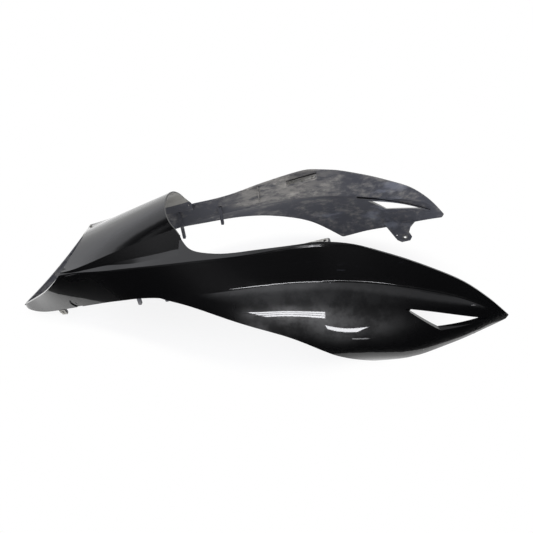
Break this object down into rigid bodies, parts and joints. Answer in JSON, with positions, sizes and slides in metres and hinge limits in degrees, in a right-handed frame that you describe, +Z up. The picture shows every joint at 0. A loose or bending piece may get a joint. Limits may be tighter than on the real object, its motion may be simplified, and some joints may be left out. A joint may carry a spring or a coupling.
{
  "type": "tail cowl",
  "caption": "One-piece moulded rear cowl for a motorbike: two side arms round an open seat bay, joined by a hump, with a lamp cut-out at the tail and vents in the arms.",
  "frame": {"origin": "under the middle of the moulding's box, on the plane that the tail tip and both arm heels rest on", "axes": "+X to the front of the motorbike, the open ends of the arms; +Y to the bike's left side; +Z up"},
  "size_m": [0.8625, 0.3798, 0.2202],
  "materials": {
    "cowl": "gloss black outside, matt inside",
    "bush": "dull",
    "plate": "satin",
    "clip": "dull zinc"
  },
  "bodies": {
    "root": {"tail_cowl": "cowl", "lug_bush_left": "bush", "lug_bush_right": "bush", "tab_plate_left": "plate", "tab_plate_right": "plate", "edge_clip_left": "clip", "edge_clip_right": "clip"}
  },
  "joints": []
}
